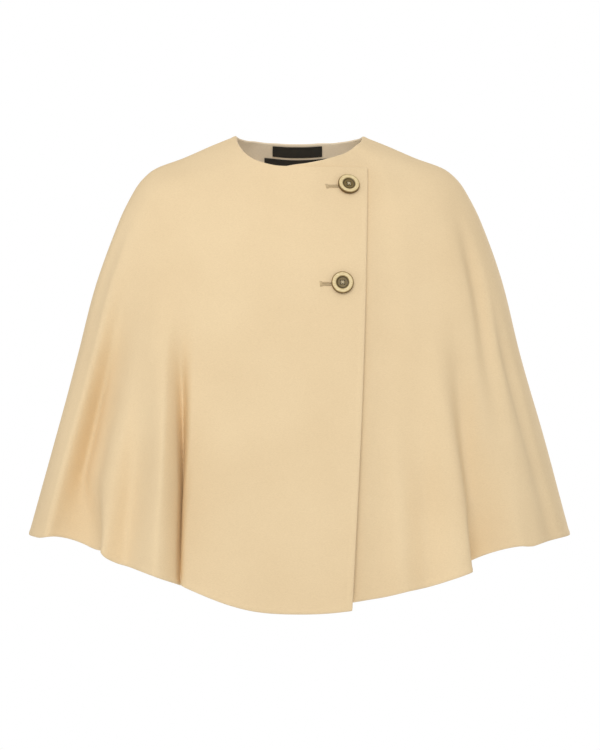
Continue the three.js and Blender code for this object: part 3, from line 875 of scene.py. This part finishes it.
def ribbon_material():
    """Plain black woven ribbon with fine ribs across and a slight lustre."""
    ribbon = Nodes("ribbon")
    wave = ribbon.add("ShaderNodeTexWave", bands_direction="Z")
    wave.inputs["Scale"].default_value = 420
    wave.inputs["Distortion"].default_value = 0.6
    ribbon.link(ribbon.place((1, 1, 1)), wave.inputs["Vector"])
    weave = ribbon.ramp(wave.outputs["Fac"], (0.2, (0.012, 0.0105, 0.007)), (0.8, (0.03, 0.027, 0.019)))
    dust = ribbon.ramp(ribbon.noise(700, 3.0), (0.35, (0.75, 0.75, 0.75)), (0.7, (1, 1, 1)))
    base = ribbon.shaded(weave, dust, 0.8)
    normal = ribbon.bump(wave.outputs["Fac"], 0.0003, 0.35)
    return ribbon.finish(base, normal, {"Roughness": 0.62, "Specular IOR Level": 0.3, "Sheen Weight": 0.1})


def floor_material():
    """Plain pale floor, very slightly clouded."""
    floor = Nodes("floor")
    base = floor.ramp(floor.noise(3, 2.0), (0.3, (0.86, 0.86, 0.86)), (0.7, (0.89, 0.89, 0.89)))
    return floor.finish(base, None, {"Roughness": 0.9})


def dress(obj, material):
    """Gives a piece its material and fixes it to the part's one body."""
    obj.data.materials.clear()
    obj.data.materials.append(material)
    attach(obj, "root")
    return obj


def free_sides(**seams):
    """The four sides of a sheet, free unless named as seams."""
    return {side: seams.get(side, "free") for side in ("start", "end", "top", "bottom")}


def make_panels(wool):
    """The three panels of cloth."""
    edge = float(edge_bearing(1.0))
    right = panel("right_front_cloth", right_front_places,
                  hem_places(-SIDE_SEAM, edge, FRONT_STEP, False, True), free_sides(start="seam"), no_inset)
    left = panel("left_front_cloth", left_front_places,
                 hem_places(-edge, SIDE_SEAM, FRONT_STEP, True, False), free_sides(end="seam"), tuck)
    back = panel("back_cloth", back_places,
                 hem_places(SIDE_SEAM, 360 - SIDE_SEAM, BACK_STEP, False, False),
                 free_sides(start="seam", end="seam"), no_inset)
    for piece, node in ((right, "right_front"), (left, "left_front"), (back, "back")):
        dress(piece, wool)
        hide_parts(node)
    return right, left, back


def make_buttons(horn):
    """The two buttons with their thread, and the buttonholes they sit in."""
    sewing = thread_material("sewing_thread", SEWING_COLOUR)
    worked = thread_material("buttonhole_thread", BUTTONHOLE_COLOUR)
    for name, across, height, inner_end, below in BUTTONS:
        point, out, _ = place_on_cloth(across, height)
        way = Vector(out[0])
        turn = way.to_track_quat("Z", "Y").to_matrix().to_4x4()
        place = Matrix.Translation(Vector((point[0] + out[0] * SEAM_GAP) * MM)) @ turn
        body = button_object(name + "_body")
        thread = thread_object(name + "_thread")
        body.matrix_world = place
        thread.matrix_world = place
        dress(body, horn)
        dress(thread, sewing)
        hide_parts(name)
        hole = buttonhole(name.replace("button", "buttonhole"), across, height, inner_end, below)
        dress(hole, worked)


def make_labels(ribbon):
    """The two bare labels."""
    made = []
    for name, width, depth, below in LABELS:
        piece = dress(label_sheet(name + "_ribbon", width, depth, below), ribbon)
        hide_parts(name)
        made.append((piece, width, depth))
    return made


def area_light(name, place, aim, size, power):
    """A soft white lamp."""
    light = bpy.data.lights.new(name, "AREA")
    light.shape = "DISK"
    light.size = size
    light.energy = power
    obj = bpy.data.objects.new(name, light)
    bpy.context.scene.collection.objects.link(obj)
    obj.location = place
    obj.rotation_euler = (Vector(aim) - Vector(place)).to_track_quat("-Z", "Y").to_euler()


def make_light():
    """White surroundings, with soft lamps in front, on both sides, above and behind."""
    world = bpy.data.worlds.new("studio")
    bpy.context.scene.world = world
    world.use_nodes = True
    tree = world.node_tree
    lit = tree.nodes["Background"]
    lit.inputs["Color"].default_value = colour(1, 1, 1)
    lit.inputs["Strength"].default_value = WORLD_LIGHT
    seen = tree.nodes.new("ShaderNodeBackground")
    seen.inputs["Color"].default_value = colour(1, 1, 1)
    seen.inputs["Strength"].default_value = WORLD_SEEN
    path = tree.nodes.new("ShaderNodeLightPath")
    either = tree.nodes.new("ShaderNodeMixShader")
    tree.links.new(path.outputs["Is Camera Ray"], either.inputs["Fac"])
    tree.links.new(lit.outputs["Background"], either.inputs[1])
    tree.links.new(seen.outputs["Background"], either.inputs[2])
    tree.links.new(either.outputs["Shader"], tree.nodes["World Output"].inputs["Surface"])
    for lamp in LAMPS:
        area_light(*lamp)


def make_floor():
    """A round floor well below the cape, which hangs clear of it."""
    sides = FLOOR["sides"]
    turn = np.arange(sides) * 2 * np.pi / sides
    height = np.full(sides, FLOOR["height"])
    points = np.stack([FLOOR["radius"] * np.cos(turn), FLOOR["radius"] * np.sin(turn), height], axis=-1) / MM
    floor = new_object("floor", points, [list(range(sides))], False)
    floor.data.materials.append(floor_material())


def make_camera():
    """The photograph's view, straight on from the front."""
    camera = bpy.data.cameras.new("camera")
    camera.sensor_width = SENSOR
    camera.lens = CAMERA_AWAY / PIXEL * camera.sensor_width / IMAGE_TALL
    obj = bpy.data.objects.new("camera", camera)
    bpy.context.scene.collection.objects.link(obj)
    obj.location = Vector((CAMERA_ACROSS, -CAMERA_AWAY, CAMERA_HEIGHT)) * MM
    obj.rotation_euler = (math.pi / 2, 0, 0)
    bpy.context.scene.camera = obj


bpy.context.scene.view_settings.view_transform = "Standard"
make_camera()
make_light()
make_floor()
right, left, back = make_panels(wool_material())
make_buttons(horn_material())
labels = make_labels(ribbon_material())
